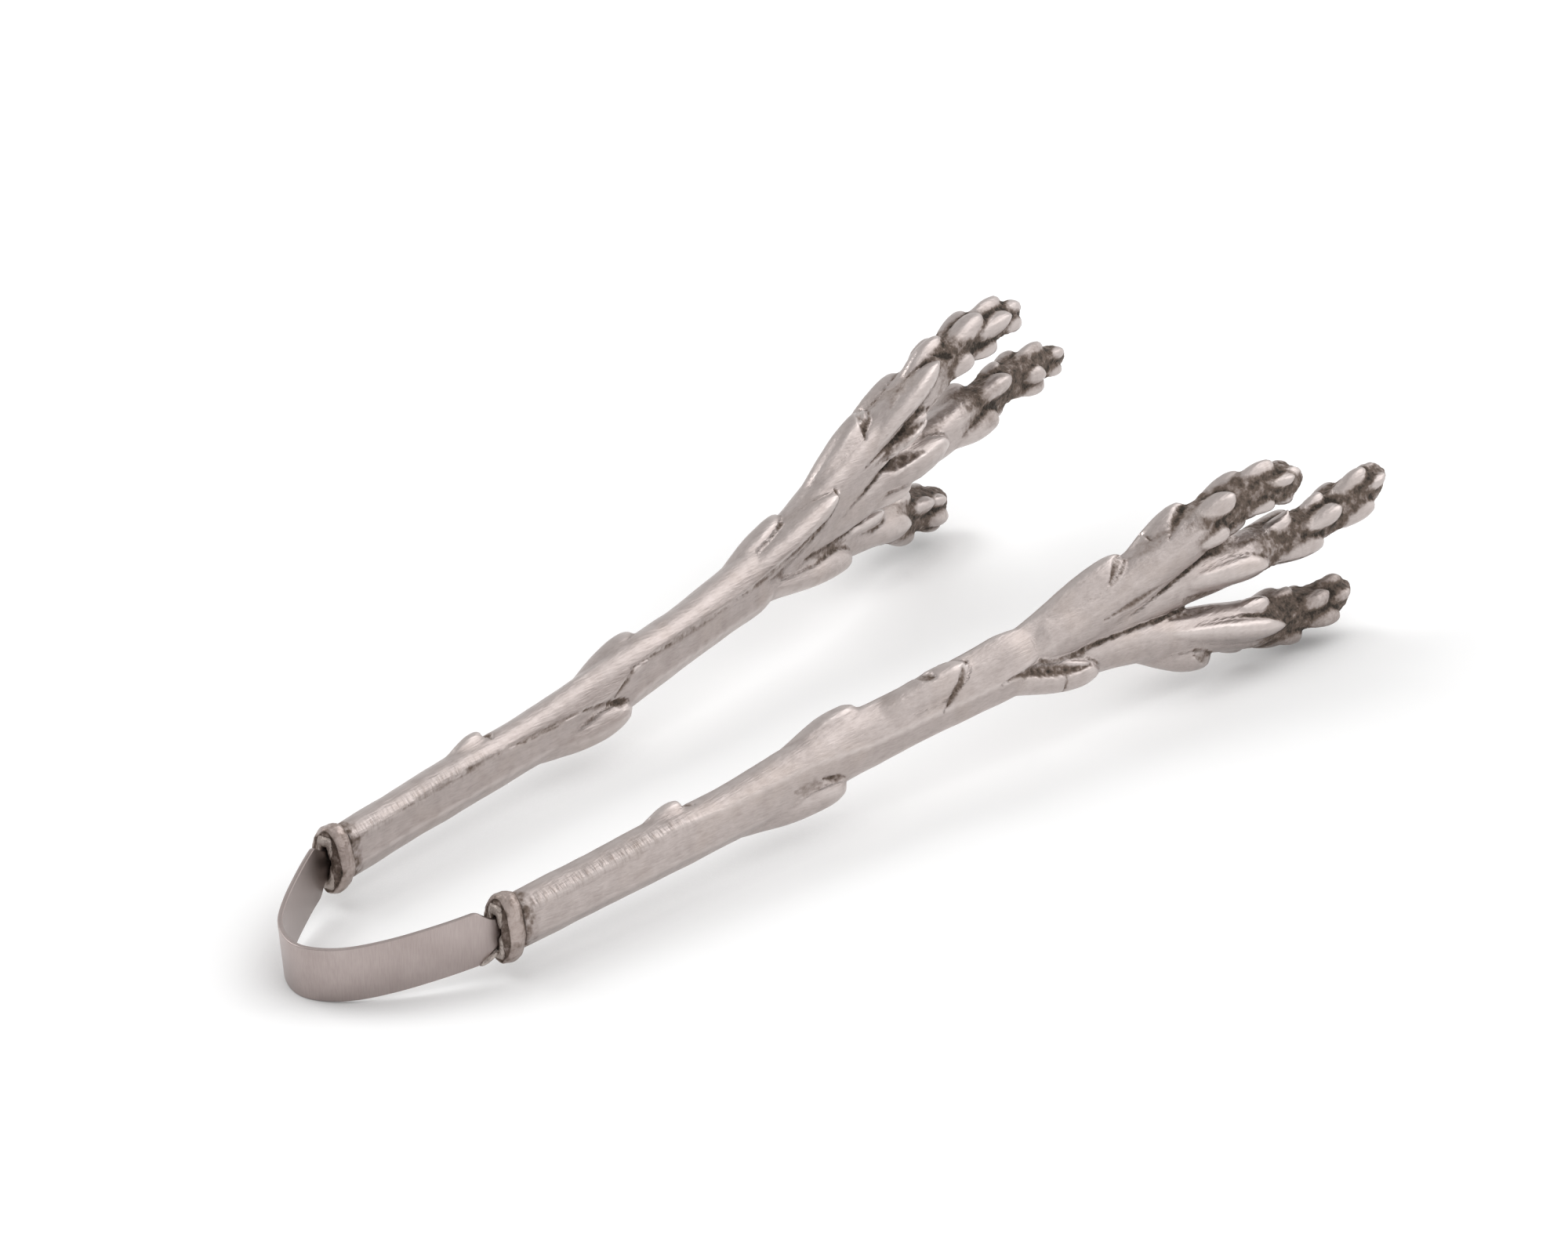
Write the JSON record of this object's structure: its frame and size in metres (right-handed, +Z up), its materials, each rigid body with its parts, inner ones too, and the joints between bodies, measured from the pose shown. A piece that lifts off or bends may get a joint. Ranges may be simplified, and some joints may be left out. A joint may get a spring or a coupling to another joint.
{
  "type": "serving tongs",
  "caption": "Serving tongs with cast asparagus-shaped arms on a bent spring strip; squeezing the arms closes the tips to pick up food.",
  "frame": {"origin": "bottom centre of the bounding box of the tongs as they lie at rest", "axes": "+X from the bow of the spring strip to the tips, +Y towards the left arm, +Z up"},
  "size_m": [0.2436, 0.0904, 0.0445],
  "materials": {
    "strip_steel": "satin, finely brushed",
    "cast_pewter": "satin cast pewter with file marks and dark patina in its recesses",
    "dark_pewter": "patinated pewter, worn bright on its rim",
    "solder": "dull bright, uneven"
  },
  "bodies": {
    "spring": {"spring_strip": "strip_steel"},
    "left_arm": {"left_arm": "cast_pewter", "left_collar": "dark_pewter", "left_solder": "solder"},
    "right_arm": {"right_arm": "cast_pewter", "right_collar": "dark_pewter", "right_solder": "solder"}
  },
  "joints": [
    {"name": "right_arm_squeeze", "type": "hinge", "parent": "spring", "child": "right_arm", "pos_m": [-0.1123, -0.01076, 0.006], "axis": [-0.1011, 0, 0.9949], "range_deg": [-4, 8.5], "stiffness_Nm_per_rad": 2.24, "deforming": ["spring_strip"]},
    {"name": "left_arm_squeeze", "type": "hinge", "parent": "spring", "child": "left_arm", "pos_m": [-0.1123, 0.00984, 0.006], "axis": [-0.1011, 0, 0.9949], "range_deg": [-8.5, 4], "stiffness_Nm_per_rad": 2.24, "deforming": ["spring_strip"]}
  ],
  "couplings": [
    {"joint": "left_arm_squeeze", "follows": "right_arm_squeeze", "ratio": -1}
  ]
}
